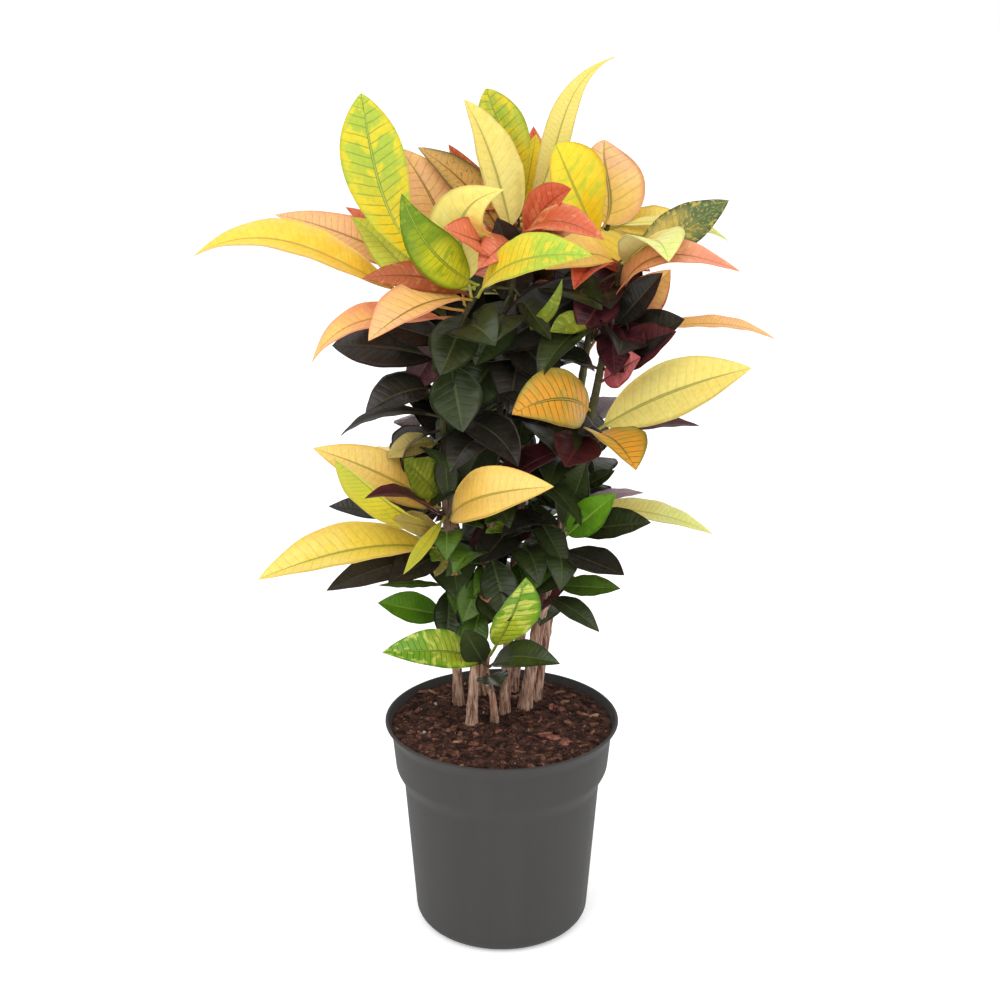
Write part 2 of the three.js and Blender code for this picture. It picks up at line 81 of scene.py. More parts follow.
# Each leaf: name, which begins with its stem's, the height at which it leaves the stem, tip, width,
# the way its upper face looks, and look. What bends it is optional: arch lifts the midrib towards
# the upper face and sway moves it to the leaf's left, as one number or as (nearer the stalk, nearer
# the tip). stalk is the stalk's share of the length, peak is where along the blade it is widest,
# point is how slender the tip is, fold is how many degrees each half rises, curl is how many degrees
# each half then bends back by its edge, and twist is how many degrees the tip turns.
LEAVES = [
    ("left_1", 584, (-110, -25, 741), 52, (-0.05, -0.95, 0.25), "lime",
        dict(sway=(38, 17), peak=0.7, point=0.8, fold=14)),
    ("left_2", 566, (-249, -20, 614), 46, (0.05, -0.45, 0.88), "blush",
        dict(arch=(-8, 58), peak=0.5, stalk=0.26)),
    ("left_3", 588, (-76, -84, 670), 39, (-0.15, -0.85, 0.45), "bright", dict(sway=10, peak=0.4)),
    ("left_4", 570, (-83, 6, 697), 50, (0.3, -0.8, 0.5), "peach", dict(sway=-10, stalk=0.2)),
    ("left_5", 580, (68, -100, 626), 44, (-0.1, -0.7, 0.7), "sunrise", dict(arch=20)),
    ("left_6", 576, (-103, -96, 560), 52, (-0.2, -0.5, 0.85), "peach", dict(arch=12, fold=26)),
    ("left_7", 560, (-156, -26, 528), 36, (-0.4, -0.5, 0.8), "apricot", dict(arch=(10, 36), stalk=0.12)),
    ("left_8", 524, (-142, 0, 536), 50, (-0.1, -0.75, 0.7), "dark", dict(arch=(10, 8))),
    ("left_9", 500, (-112, -40, 488), 42, (-0.2, -0.6, 0.8), "dark", dict(arch=10)),
    ("left_10", 392, (-157, -32, 456), 42, (0.2, -0.8, 0.6), "golden",
        dict(arch=12, fold=18, stalk=0.03)),
    ("left_11", 368, (-134, -82, 460), 48, (-0.5, -0.8, 0.05), "citrus", dict(sway=(14, 0), fold=26)),
    ("left_12", 352, (-205, -52, 347), 56, LEVEL, "lemon", dict(arch=(18, 14), fold=28)),
    ("left_13", 284, (-108, -12, 310), 30, (0.1, -0.8, 0.6), "bright_green"),
    ("left_14", 382, (41, -92, 441), 47, (-0.1, -0.8, 0.6), "golden", dict(arch=(22, 18))),
    ("left_15", 578, (2, -42, 669), 54, (0, -0.9, 0.45), "cream",
        dict(sway=(11, 37), stalk=0.14, peak=0.48, point=1.1, fold=12)),
    ("front_1", 608, (-68, 10, 697), 36, (0.6, -0.8, 0.5), "dusky", dict(arch=4, sway=(-10, -9))),
    ("front_2", 624, (-30, 0, 735), 54, (0.85, -0.7, 0.25), "cream", dict(sway=(-4, -10), peak=0.42)),
    ("front_3", 620, (80, -50, 631), 36, TILTED, "coral", dict(arch=20)),
    ("front_4", 470, (-39, 0, 402), 44, (-0.2, -0.9, 0.4), "bottle"),
    ("middle_1", 632, (-13, 34, 742), 46, (0.1, -0.95, 0.3), "lime",
        dict(sway=(-6, -4), peak=0.62, point=0.7)),
    ("middle_2", 636, (90, 24, 767), 26, (-0.3, -0.9, 0.3), "cream",
        dict(sway=(-14, 29), peak=0.45, point=1.3)),
    ("right_1", 598, (188, 26, 653), 42, (-0.3, -0.8, 0.6), "speckled"),
    ("right_2", 574, (192, -24, 602), 43, (0, -0.5, 0.87), "coral_peach",
        dict(arch=(36, 26), peak=0.32, stalk=0.01)),
    ("right_3", 528, (148, -30, 564), 42, (-0.2, -0.7, 0.7), "dark"),
    ("right_4", 548, (228, 4, 541), 20, (0, -0.35, 0.95), "peach", dict(arch=(2, 18), stalk=0.25)),
    ("right_5", 462, (201, -50, 528), 54, (-0.2, -0.8, 0.55), "cream", dict(sway=(8, 6))),
    ("right_6", 480, (8, -90, 500), 54, (0, -0.9, 0.45), "amber",
        dict(arch=(12, 10), sway=(-6, -8), fold=14, stalk=0.03)),
    ("right_7", 460, (106, -96, 456), 52, (0.3, -0.7, 0.6), "amber", dict(arch=10, fold=26)),
    ("right_8", 366, (93, -64, 426), 30, (-0.1, -0.9, 0.4), "bright_green"),
    ("right_9", 372, (126, -30, 390), 34, TILTED, "bottle"),
    ("right_10", 354, (102, -60, 354), 32, TILTED, "dark"),
    ("back_right_1", 610, (44, 14, 699), 63, (0.4, -0.85, 0.4), "gold",
        dict(arch=(3, 2), sway=3, peak=0.62, point=0.55, stalk=0.04)),
    ("back_right_2", 626, (86, 52, 700), 60, (0.1, -0.95, 0.3), "pale_peach",
        dict(sway=(-10, 3), peak=0.42, point=0.65, stalk=0.04)),
    ("back_right_3", 378, (187, 28, 360), 28, LEVEL, "pale_lime", dict(arch=(8, 14))),
    ("back_right_4", 520, (148, 170, 548), 44, (0.2, 0.4, 0.9), "coral", dict(arch=12)),
    ("back_right_5", 440, (138, 168, 444), 42, (0.2, 0.4, 0.9), "maroon", dict(arch=12)),
    ("back_left_1", 552, (-132, 190, 606), 46, (-0.2, 0.4, 0.9), "lime", dict(arch=8)),
    ("back_left_2", 542, (-96, 222, 566), 44, BACKWARD, "peach", dict(arch=14)),
    ("back_left_3", 480, (-106, 205, 490), 44, (-0.1, 0.4, 0.9), "dark", dict(arch=12)),
    ("back_left_4", 400, (-132, 165, 392), 42, (-0.3, 0.4, 0.9), "lemon", dict(arch=12)),
    ("back_left_5", 320, (-108, 150, 306), 36, (-0.2, 0.4, 0.9), "green", dict(arch=10)),
    ("back_1", 566, (28, 124, 706), 44, UPRIGHT, "coral"),
    ("back_2", 560, (-26, 215, 650), 46, BACKWARD, "gold", dict(arch=12)),
    ("back_3", 556, (104, 205, 628), 44, (0.1, 0.4, 0.9), "peach", dict(arch=12)),
    ("back_4", 500, (22, 240, 540), 46, BACKWARD, "dark", dict(arch=14)),
    ("back_5", 430, (62, 235, 452), 42, BACKWARD, "green", dict(arch=12)),
    ("back_6", 340, (66, 205, 352), 38, BACKWARD, "dark", dict(arch=12)),
    ("shoot_1", 262, (20, -62, 352), 46, (0.44, -1, -0.1), "variegated",
        dict(sway=-3, stalk=0.14, fold=24)),
    ("shoot_2", 254, (-99, -88, 296), 38, (0.1, -0.7, 0.7), "variegated", dict(arch=(14, 10))),
    ("shoot_3", 250, (49, -66, 276), 32, TILTED, "dark_green", dict(arch=12)),
]

# Small leaves that the CAD model leaves out, from small_1 up, in the same form but with only the
# name of the stem.
SMALL_LEAVES = [
    # the crown
    ("left", 586, (-129, 20, 648), 30, SLOPED, "coral"),
    ("left", 586, (-123, -2, 642), 40, (0.1, -0.7, 0.7), "citrus", dict(sway=(34, 0))),
    ("left", 578, (-112, -36, 598), 32, (0.1, -0.6, 0.8), "russet", dict(arch=12, curl=40)),
    ("front", 610, (-45, -64, 642), 36, (0.1, -0.8, 0.6), "salmon"),
    ("front", 622, (-19, -48, 608), 30, (0.1, -0.8, 0.6), "salmon", dict(arch=(6, 10))),
    ("front", 624, (55, -20, 667), 35, (-0.3, -0.8, 0.5), "coral_red", dict(sway=(3, 7))),
    ("left", 586, (-190, 36, 640), 40, (0, -0.65, 0.77), "peach", dict(arch=(-4, 12), stalk=0.02)),
    ("middle", 600, (-44, 40, 697), 30, (0.2, -0.9, 0.4), "coral"),
    ("front", 604, (-4, -20, 644), 26, UPRIGHT, "dark"),
    ("right", 600, (35, -20, 603), 42, TILTED, "golden", dict(arch=13)),
    ("right", 602, (117, 80, 628), 62, (-0.1, -0.4, 0.9), "lemon", dict(stalk=0.02, peak=0.42, point=0.7)),
    ("right", 602, (132, -45, 613), 56, (0.1, -0.35, 0.93), "pale_lime",
        dict(arch=(9, 22), sway=(6, 8), stalk=0.04)),
    ("back_right", 608, (120, 100, 640), 30, STEEP, "lemon"),
    ("back_right", 626, (157, 60, 634), 30, STEEP, "lemon"),
    ("back_right", 628, (192, 45, 617), 15, TILTED, "pale_lime", dict(arch=(8, 18))),
    ("right", 545, (140, 10, 598), 36, (0.3, -0.85, 0.4), "apricot"),
    # the dark middle
    ("right", 548, (130, -20, 600), 30, (-0.3, -0.8, 0.5), "dark"),
    ("right", 515, (141, -36, 555), 44, (-0.2, -0.7, 0.7), "maroon"),
    ("left", 560, (-80, -10, 496), 34, (-0.3, -0.9, 0.2), "maroon"),
    ("left", 540, (-100, -10, 558), 30, (-0.1, -0.8, 0.6), "dark"),
    ("front", 576, (-22, -30, 526), 42, (0, -0.9, 0.35), "bottle"),
    ("front", 530, (-36, -34, 488), 46, UPRIGHT, "bottle"),
    ("right", 592, (-14, -20, 534), 50, (0.1, -0.85, 0.5), "dark"),
    ("front", 545, (46, -30, 512), 42, STEEP, "dark"),
    ("right", 586, (64, -24, 552), 40, STEEP, "maroon"),
    ("right", 562, (39, -40, 556), 22, STEEP, "moss", dict(stalk=0.3)),
    ("front", 582, (40, -34, 548), 20, STEEP, "dark_green"),
    ("front", 550, (48, -40, 598), 12, UPRIGHT, "moss", dict(sway=(-14, -12))),
    ("right", 545, (118, -24, 543), 30, STEEP, "maroon"),
    ("right", 505, (113, -32, 533), 34, STEEP, "pink"),
    ("right", 450, (171, 26, 460), 20, LEVEL, "maroon", dict(arch=(14, 10))),
    ("right", 462, (52, -56, 447), 44, STEEP, "maroon"),
    ("left", 476, (-138, 8, 456), 16, LEVEL, "dark", dict(arch=14)),
    ("left", 452, (-97, -20, 444), 24, SLOPED, "khaki", dict(arch=(8, 10))),
    ("left", 452, (-80, -24, 446), 18, TILTED, "dark"),
    ("front", 478, (-52, 30, 470), 14, TILTED, "lemon"),
    ("left", 404, (-82, -30, 446), 36, (0.1, -0.8, 0.6), "moss"),
    ("left", 452, (-46, -14, 404), 22, (0, -1, 0.1), "bottle"),
    # the lower leaves
    ("left", 388, (-109, -94, 432), 24, (0, -0.5, 0.85), "maroon", dict(arch=(4, 14))),
    ("left", 388, (-151, 12, 391), 30, TILTED, "dark"),
    ("left", 385, (-80, -84, 364), 13, STEEP, "citrus"),
    ("left", 372, (-92, -40, 396), 24, (0.1, -0.8, 0.6), "khaki"),
    ("left", 356, (-90, -30, 396), 18, TILTED, "khaki"),
    ("left", 345, (-150, -34, 330), 34, TILTED, "dark", dict(arch=10)),
    ("left", 352, (-96, -46, 342), 34, TILTED, "dark"),
    ("left", 350, (-58, -10, 334), 14, TILTED, "khaki"),
    ("left", 316, (-108, 0, 322), 10, LEVEL, "green"),
    ("left", 292, (-41, -2, 337), 16, UPRIGHT, "rust"),
    ("left", 350, (-34, -14, 291), 20, (0, -1, 0.1), "green"),
    ("left", 350, (-60, -20, 352), 18, SLOPED, "variegated"),
    ("middle", 392, (-14, -20, 386), 22, SLOPED, "green"),
    ("middle", 372, (-14, -4, 372), 14, SLOPED, "variegated"),
    ("middle", 372, (-18, -30, 354), 36, SLOPED, "dark"),
    ("middle", 396, (57, -20, 343), 26, (0.2, -0.9, 0.4), "bottle"),
    ("front", 350, (6, -40, 304), 34, UPRIGHT, "dark_green"),
    ("front", 318, (-12, -36, 320), 12, STEEP, "rust"),
    ("right", 412, (96, -10, 430), 14, STEEP, "bottle"),
    ("right", 372, (70, -40, 446), 36, (-0.3, -0.85, 0.4), "bottle"),
    ("right", 396, (123, 10, 404), 12, (0, -0.5, 0.85), "mauve", dict(arch=4)),
    ("right", 340, (26, -24, 322), 34, STEEP, "bottle"),
    ("right", 318, (102, -24, 328), 22, SLOPED, "green"),
    ("right", 304, (84, -34, 292), 22, TILTED, "bottle", dict(arch=8)),
    ("shoot", 252, (-31, -84, 314), 27, (0, -0.9, 0.45), "dark_green", dict(point=0.6)),
    ("shoot", 242, (-2, -58, 252), 30, TILTED, "dark_green"),
    ("front", 332, (-34, -26, 298), 30, (0, -0.85, 0.5), "green"),
    ("front", 322, (-2, -40, 302), 32, (0, -0.85, 0.5), "dark_green"),
    ("left", 330, (-22, -16, 316), 28, STEEP, "green"),
    ("middle", 338, (26, -16, 304), 30, (0, -0.85, 0.5), "green"),
    # behind the dark middle
    ("back_right", 604, (46, 16, 572), 46, UPRIGHT, "dark"),
    ("back_right", 612, (102, 14, 566), 46, UPRIGHT, "maroon"),
    ("middle", 604, (0, 6, 574), 40, UPRIGHT, "dark"),
    ("back", 556, (20, 60, 600), 48, UPRIGHT, "dark"),
    # in the gaps
    ("middle", 636, (29, 70, 703), 26, (0.2, -0.95, 0.3), "gold"),
    ("left", 318, (-48, -24, 276), 28, UPRIGHT, "dark_green"),
    ("front", 305, (-30, -40, 266), 26, UPRIGHT, "green"),
    ("right", 556, (92, -34, 518), 30, UPRIGHT, "maroon"),
    ("left", 540, (-22, 34, 590), 32, UPRIGHT, "dark"),
    ("middle", 488, (14, 4, 446), 34, UPRIGHT, "bottle"),
    ("left", 568, (-50, -50, 522), 42, (0, -0.9, 0.35), "bottle"),
    ("left", 526, (-32, -48, 474), 46, (0, -0.9, 0.35), "bottle"),
]

# Looks of the inner leaves: in the bush's shade, near the soil and in the crown.
SHADE = ("dark", "dark", "bottle", "dark_green", "maroon")
LOW = ("green", "bottle", "dark_green", "dark")
CROWN = ("coral", "peach", "apricot", "lemon", "citrus", "coral_red")

# Inner leaves, which fill the bush: stem, lowest and highest joint, how many, reach, and their looks.
INNER_LEAVES = [
    ("left", 400, 556, 11, 84, SHADE),
    ("front", 400, 588, 15, 80, SHADE),
    ("middle", 400, 590, 14, 90, SHADE),
    ("right", 400, 576, 13, 80, SHADE),
    ("back_right", 360, 590, 13, 92, SHADE),
    ("back_left", 340, 530, 13, 96, SHADE),
    ("back", 330, 540, 13, 96, SHADE),
    ("left", 330, 392, 4, 52, LOW),
    ("front", 290, 390, 8, 52, LOW),
    ("middle", 300, 390, 8, 60, LOW),
    ("right", 330, 392, 5, 56, LOW),
    ("back_right", 290, 350, 4, 76, LOW),
    ("back_left", 280, 335, 4, 80, LOW),
    ("back", 270, 325, 4, 80, LOW),
    ("front", 604, 626, 4, 56, CROWN),
    ("middle", 600, 634, 6, 66, CROWN),
    ("right", 590, 600, 3, 60, CROWN),
    ("back_right", 598, 630, 5, 70, CROWN),
    ("back_left", 534, 558, 5, 88, CROWN),
    ("back", 545, 568, 5, 88, CROWN),
]
GOLDEN_ANGLE = math.radians(137.5)
GROUP_TURN = 0.37  # how far each group is turned on from the last, in golden angles
CROWN_RISE = (-0.15, 0.35)  # least and most that a tip rises for each step outwards
SHADE_RISE = (-0.5, 0.15)

# How far the inner leaves reach to the left and right at each height, and to the front.
BUSH_HEIGHTS = (290, 330, 360, 400, 440, 480, 520, 560, 600, 640, 700)
BUSH_LEFT = (-34, -40, -64, -80, -84, -92, -92, -74, -74, -100, -60)
BUSH_RIGHT = (34, 50, 88, 84, 60, 66, 84, 104, 112, 130, 80)
BUSH_FRONT = -52

# Joints whose inner leaf has fallen: the group in INNER_LEAVES and the joint, counted from 0.
FALLEN = {(0, 7), (1, 10), (2, 1), (3, 1), (3, 6), (3, 7), (4, 7), (6, 8), (14, 1), (14, 2),
          (17, 1), (17, 2), (17, 4)}


def inner_rows():
    """Rows like those of LEAVES for the inner leaves, which wind up each stem."""
    dice = random.Random("inner leaves")
    rows = []
    for group, (stem, low, high, number, reach, looks) in enumerate(INNER_LEAVES):
        for joint in range(number):
            height = low + (high - low) * (joint + 0.5) / number
            angle = GOLDEN_ANGLE * (joint + GROUP_TURN * group)
            outward = np.array([math.cos(angle), math.sin(angle), 0])
            centre, _, _ = place_at(stem, height)
            rise = dice.uniform(*(CROWN_RISE if looks is CROWN else SHADE_RISE))
            tip = centre + (outward + (0, 0, rise)) * reach * dice.uniform(0.85, 1.1)
            tip[1] = max(tip[1], BUSH_FRONT)
            tip[0] = np.clip(tip[0], np.interp(tip[2], BUSH_HEIGHTS, BUSH_LEFT),
                             np.interp(tip[2], BUSH_HEIGHTS, BUSH_RIGHT))
            face = (0.8 * outward[0], 0.8 * outward[1] - 0.2, 0.8)
            bends = dict(arch=(10, 16), twist=dice.uniform(-20, 20), fold=dice.uniform(10, 24))
            row = (f"inner_{group}_{joint}", stem, height, tuple(tip), reach * dice.uniform(0.5, 0.6),
                   face, dice.choice(looks), bends)
            if (group, joint) not in FALLEN:
                rows.append(row)
    return rows


# ---- Shapes ----

BASE_FULLNESS = 0.7  # below 1 makes the outline fuller than a sine curve
END_HALF_WIDTH = 0.3  # at the blade's foot and tip
EDGE_RIPPLE = 0.5


def unit(vectors):
    return vectors / np.linalg.norm(vectors, axis=-1, keepdims=True)


def square_to(direction, along):
    """The part of a direction that is square to another one, at unit length."""
    return unit(direction - along * np.sum(direction * along, axis=-1, keepdims=True))


def stacked(*parts):
    """A row for each point, with a number from each part."""
    return np.stack(np.broadcast_arrays(*parts), axis=-1).reshape(-1, len(parts))


def stem_places(name, shares):
    """Centres and directions on a stem's curve, from 0 in the soil to 1 at its tip."""
    points = np.array(STEMS[name][1], float)
    points = np.vstack([2 * points[0] - points[1], points, 2 * points[-1] - points[-2]])
    spans = len(points) - 3
    span = np.minimum((shares * spans).astype(int), spans - 1)
    t = (shares * spans - span)[:, None]
    a, b, c, d = (points[span + step] for step in range(4))
    bend = 2 * a - 5 * b + 4 * c - d
    turn = 3 * b - a - 3 * c + d
    centres = 0.5 * (2 * b + (c - a) * t + bend * t ** 2 + turn * t ** 3)
    return centres, unit((c - a) + 2 * bend * t + 3 * turn * t ** 2)


def stem_radius(name, share):
    """A stem's radius, which tapers evenly to its tip."""
    return STEMS[name][0] + (STEM_TIP_RADIUS - STEMS[name][0]) * share


def place_at(name, height):
    """Centre, direction and share of a stem's curve at a height."""
    below, above = 0.0, 1.0
    for _ in range(20):
        share = (below + above) / 2
        if stem_places(name, np.array([share]))[0][0, 2] < height:
            below = share
        else:
            above = share
    centre, along = stem_places(name, np.array([below]))
    return centre[0], along[0], below


class Leaf:
    """A leaf's place and bends. Its midrib is a cubic curve from its foot on the stem to its tip."""

    def __init__(self, name, stem, height, tip, width, face, look, bends=None):
        bent = dict(arch=0, sway=0, stalk=0.08, peak=0.5, point=0.9, fold=22, curl=10, twist=0)
        bent.update(bends or {})
        self.name, self.width, self.look = name, width, look
        self.stalk, self.peak, self.point = bent["stalk"], bent["peak"], bent["point"]
        self.fold, self.curl, self.twist = (math.radians(bent[key]) for key in ("fold", "curl", "twist"))
        self.dice = random.Random("leaf " + name)
        self.face = unit(np.array(face, float))
        tip = np.array(tip, float)
        self.axis, stem_along, share = place_at(stem, height)
        reach = unit(tip - self.axis)
        self.outward = square_to(reach, stem_along)
        lean = abs(np.dot(reach, stem_along))
        foot = self.axis + self.outward * (stem_radius(stem, share) + STALK_GAP + lean * STALK_WIDTH / 2)
        chord = tip - foot
        up = square_to(self.face, unit(chord))
        left = np.cross(up, unit(chord))
        arch, sway = (np.broadcast_to(bent[key], 2) for key in ("arch", "sway"))
        lifts = [4 / 3 * (up * arch[end] + left * sway[end]) for end in (0, 1)]
        self.points = [foot, foot + chord / 3 + lifts[0], foot + chord * 2 / 3 + lifts[1], tip]

    def frames(self, shares):
        """Centres, and directions across, over and along, at shares of the length."""
        a, b, c, d = self.points
        t = np.asarray(shares, float)[:, None]
        r = 1 - t
        centres = a * r ** 3 + b * 3 * r * r * t + c * 3 * r * t * t + d * t ** 3
        along = unit((b - a) * r * r + (c - b) * 2 * r * t + (d - c) * t * t)
        over = square_to(self.face, along)
        across = np.cross(over, along)
        turn = self.twist * np.maximum(t - self.stalk, 0)
        cos, sin = np.cos(turn), np.sin(turn)
        return centres, across * cos + over * sin, over * cos - across * sin, along

    def half_widths(self, stations):
        """Half the blade's width at stations from 0 at its foot to 1 at its tip."""
        shifted = stations ** (math.log(0.5) / math.log(self.peak))
        fullness = np.where(shifted < 0.5, BASE_FULLNESS, self.point)
        bulge = np.maximum(np.sin(math.pi * shifted), 0) ** fullness
        return np.maximum(self.width * 0.5 * bulge, END_HALF_WIDTH)

    def blade(self, rows, columns):
        """The blade's upper side as a grid of points, and each point's place in the two maps."""
        stations = 0.5 - 0.5 * np.cos(math.pi * np.arange(rows + 1) / rows)
        centres, across, over, _ = self.frames(self.stalk + (1 - self.stalk) * stations)
        half = self.half_widths(stations)
        steps = (np.arange(columns) + 0.5) / columns
        slopes = self.fold - self.curl * steps
        outs = np.concatenate([[0], np.cumsum(np.cos(slopes))]) / columns
        rises = np.concatenate([[0], np.cumsum(np.sin(slopes))]) / columns
        shares = np.arange(columns + 1) / columns
        halves = []
        for end in (-1, 1):
            phase, pace, lean = (self.dice.uniform(0, 6.28), self.dice.uniform(3, 5),
                                 self.dice.uniform(0.96, 1.05))
            ripple = EDGE_RIPPLE * np.sin(2 * math.pi * pace * stations + phase)
            ripple *= np.sin(math.pi * stations) ** 0.5
            sideways = end * lean * half[:, None] * outs
            upwards = half[:, None] * rises + ripple[:, None] * shares ** 2
            halves.append(centres[:, None] + across[:, None] * sideways[:, :, None]
                          + over[:, None] * upwards[:, :, None])
        grid = np.concatenate([halves[0][:, :0:-1], halves[1]], axis=1)
        side = np.concatenate([-shares[:0:-1], shares])
        blade_map = stacked(0.5 + 0.5 * side, stations[:, None])
        steps_along = np.linalg.norm(np.diff(centres, axis=0), axis=-1)
        along = np.concatenate([[0], np.cumsum(steps_along)])
        ruler_map = stacked(half[:, None] * side, along[:, None])
        return grid, blade_map, ruler_map / self.width


# ---- Looks ----

# Each look: its slot; hex colours at the blade's foot, tip and edge, of its veins, of the patches
# along them, of its lower side and of its stalk; then how much of the blade the patches cover, how
# strongly the veins show, and how rough it is.
LOOKS = {
    "lime": ("leaf_lime", "f6ca10 a9bc3c b4c440 5e8634 e4cc26 d3cc66 b9c04a", 0.55, 0.7, 0.42),
    "sunrise": ("leaf_lime", "efcb30 a6c63a c6cf44 7f9a30 e6cc34 e2967a b5bd4a", 0.5, 0.6, 0.42),
    "blush": ("leaf_yellow", "f0bc30 ead44e efc870 b99a3a f1cf48 e39a70 cf9a50", 0.4, 0.2, 0.42),
    "bright": ("leaf_green", "c8c828 6a8a12 5c7a10 486a10 8fa41c 7da12e a9b83c", 0.4, 0.5, 0.4),
    "peach": ("leaf_peach", "efba68 f1bb80 eba676 6e4a26 f3c472 dd8c66 c9a14e", 0.4, 0.35, 0.42),
    "apricot": ("leaf_peach", "e48a72 f4c46c ee9f78 a5782f f2b46c dc8a68 d48a5c", 0.35, 0.3, 0.42),
    "pale_peach": ("leaf_peach", "f3cc6a f1c190 eeb084 7a7434 f2cf86 e0a070 c9ac58", 0.35, 0.35, 0.42),
    "lemon": ("leaf_yellow", "eecf4a f2da70 eecb62 8f8c34 ecd656 e6bf78 b9b24c", 0.35, 0.3, 0.42),
    "cream": ("leaf_yellow", "e8dc7c eed870 e4d274 989444 e8dc80 e0c888 b9b45c", 0.35, 0.2, 0.42),
    "golden": ("leaf_yellow", "eebd58 f2d074 ebc060 a08a34 efcd62 deaa68 bfa64c", 0.35, 0.25, 0.42),
    "gold": ("leaf_yellow", "f0c81c f2d82c ebc634 a8a022 cbd034 e2b84c b9b43c", 0.4, 0.3, 0.42),
    "amber": ("leaf_amber", "e0a032 d8962a 7c7a2c 38481a a89c44 c97a48 b39a40", 0.35, 0.8, 0.4),
    "dusky": ("leaf_amber", "eebc70 d2a65c 4a5434 743a26 7c6c2c b08050 9a7a3c", 0.3, 0.3, 0.4),
    "salmon": ("leaf_coral", "dd7a50 e07c5c c45a3e 8a3a28 eda07c c86a50 b8683c", 0.35, 0.5, 0.4),
    "russet": ("leaf_coral", "b8582e b4603a 9c4a2c 6e2e1c cc8050 a04e34 8c4c2c", 0.3, 0.4, 0.42),
    "coral": ("leaf_coral", "c65230 d26542 dd845c 7c3a26 e0a070 c45e4a b0603c", 0.35, 0.4, 0.4),
    "coral_red": ("leaf_coral", "c05434 c85438 d06c4a 6c2e1e d8764c a84a38 a0502f", 0.35, 0.6, 0.4),
    "coral_peach": ("leaf_coral", "eaa46c e48f70 eaa07a 8a5a34 eeb070 c86a50 c07a48", 0.35, 0.25, 0.42),
    "pink": ("leaf_coral", "dc6c78 e88084 b05050 6e3038 e09088 8a4046 8a4a40", 0.4, 0.5, 0.42),
    "mauve": ("leaf_maroon", "9a808c a48c96 94808a 7a6470 aa94a0 80646e 80706c", 0.3, 0.3, 0.45),
    "rust": ("leaf_coral", "c08060 b87a5c a86a4c 8a563e cc9878 a87058 9a6a48", 0.4, 0.3, 0.6),
    "khaki": ("leaf_yellow", "c8b060 b8a25c c2b46a 7c7434 a89a4a b09a6a a09a4c", 0.4, 0.4, 0.5),
    "pale_lime": ("leaf_lime", "ead87a dade80 e4e08c a8b850 e6e29a d2d28c bcc460", 0.4, 0.4, 0.45),
    "citrus": ("leaf_lime", "dccc38 c0c040 ccc44a 7c9030 bcc43c cfc46c b0b848", 0.4, 0.55, 0.42),
    "variegated": ("leaf_lime", "b4c030 6e9a28 5a8a22 2a5014 d4d864 8aa03c 98a83c", 0.4, 0.85, 0.4),
    "moss": ("leaf_green", "98a02e 7c8c28 68801e 2c4a14 a8b040 7c8c3c 8c9a3c", 0.4, 0.85, 0.4),
    "speckled": ("leaf_dark", "c4ac48 50663a 3c4e2e 66703a c8b050 5c6034 8a8c3c", 0.4, 0.4, 0.36),
    "bright_green": ("leaf_green", "4c7a14 5c8a14 4e7c16 80a83c 48700f 5c8030 7a983c", 0.3, 0.2, 0.36),
    "green": ("leaf_green", "43601a 4c6a1a 3e5a18 647c34 385216 566c30 6c803a", 0.3, 0.25, 0.36),
    "dark_green": ("leaf_dark", "2c361a 323e1c 283018 48562c 222a14 3a3a26 4c5430", 0.3, 0.2, 0.34),
    "bottle": ("leaf_dark", "2a3418 323d1d 2b3319 4a5630 242b16 383626 4c5430", 0.3, 0.2, 0.36),
    "dark": ("leaf_dark", "22221a 282620 2e2620 3e402e 1a1a14 35201f 4a4030", 0.4, 0.2, 0.34),
    "maroon": ("leaf_maroon", "40191e 4a1f24 582a2a 6c3a38 2e1416 4c2226 5c3430", 0.4, 0.2, 0.36),
}
VEIN_SPACING = 0.15  # between side veins, as a share of the leaf's width
VEIN_LEAN = 0.45  # how far a side vein runs forward for each step outwards
PATCH_SCALE = 1.8
SPOT_SCALES = {"speckled": 7.0, "dusky": 7.0, "amber": 3.0}  # looks with smaller patches


def colour(code):
    """Linear colour with alpha from a hex code."""
    values = [int(code[i:i + 2], 16) / 255 for i in (0, 2, 4)]
    return [v / 12.92 if v <= 0.04045 else ((v + 0.055) / 1.055) ** 2.4 for v in values] + [1.0]


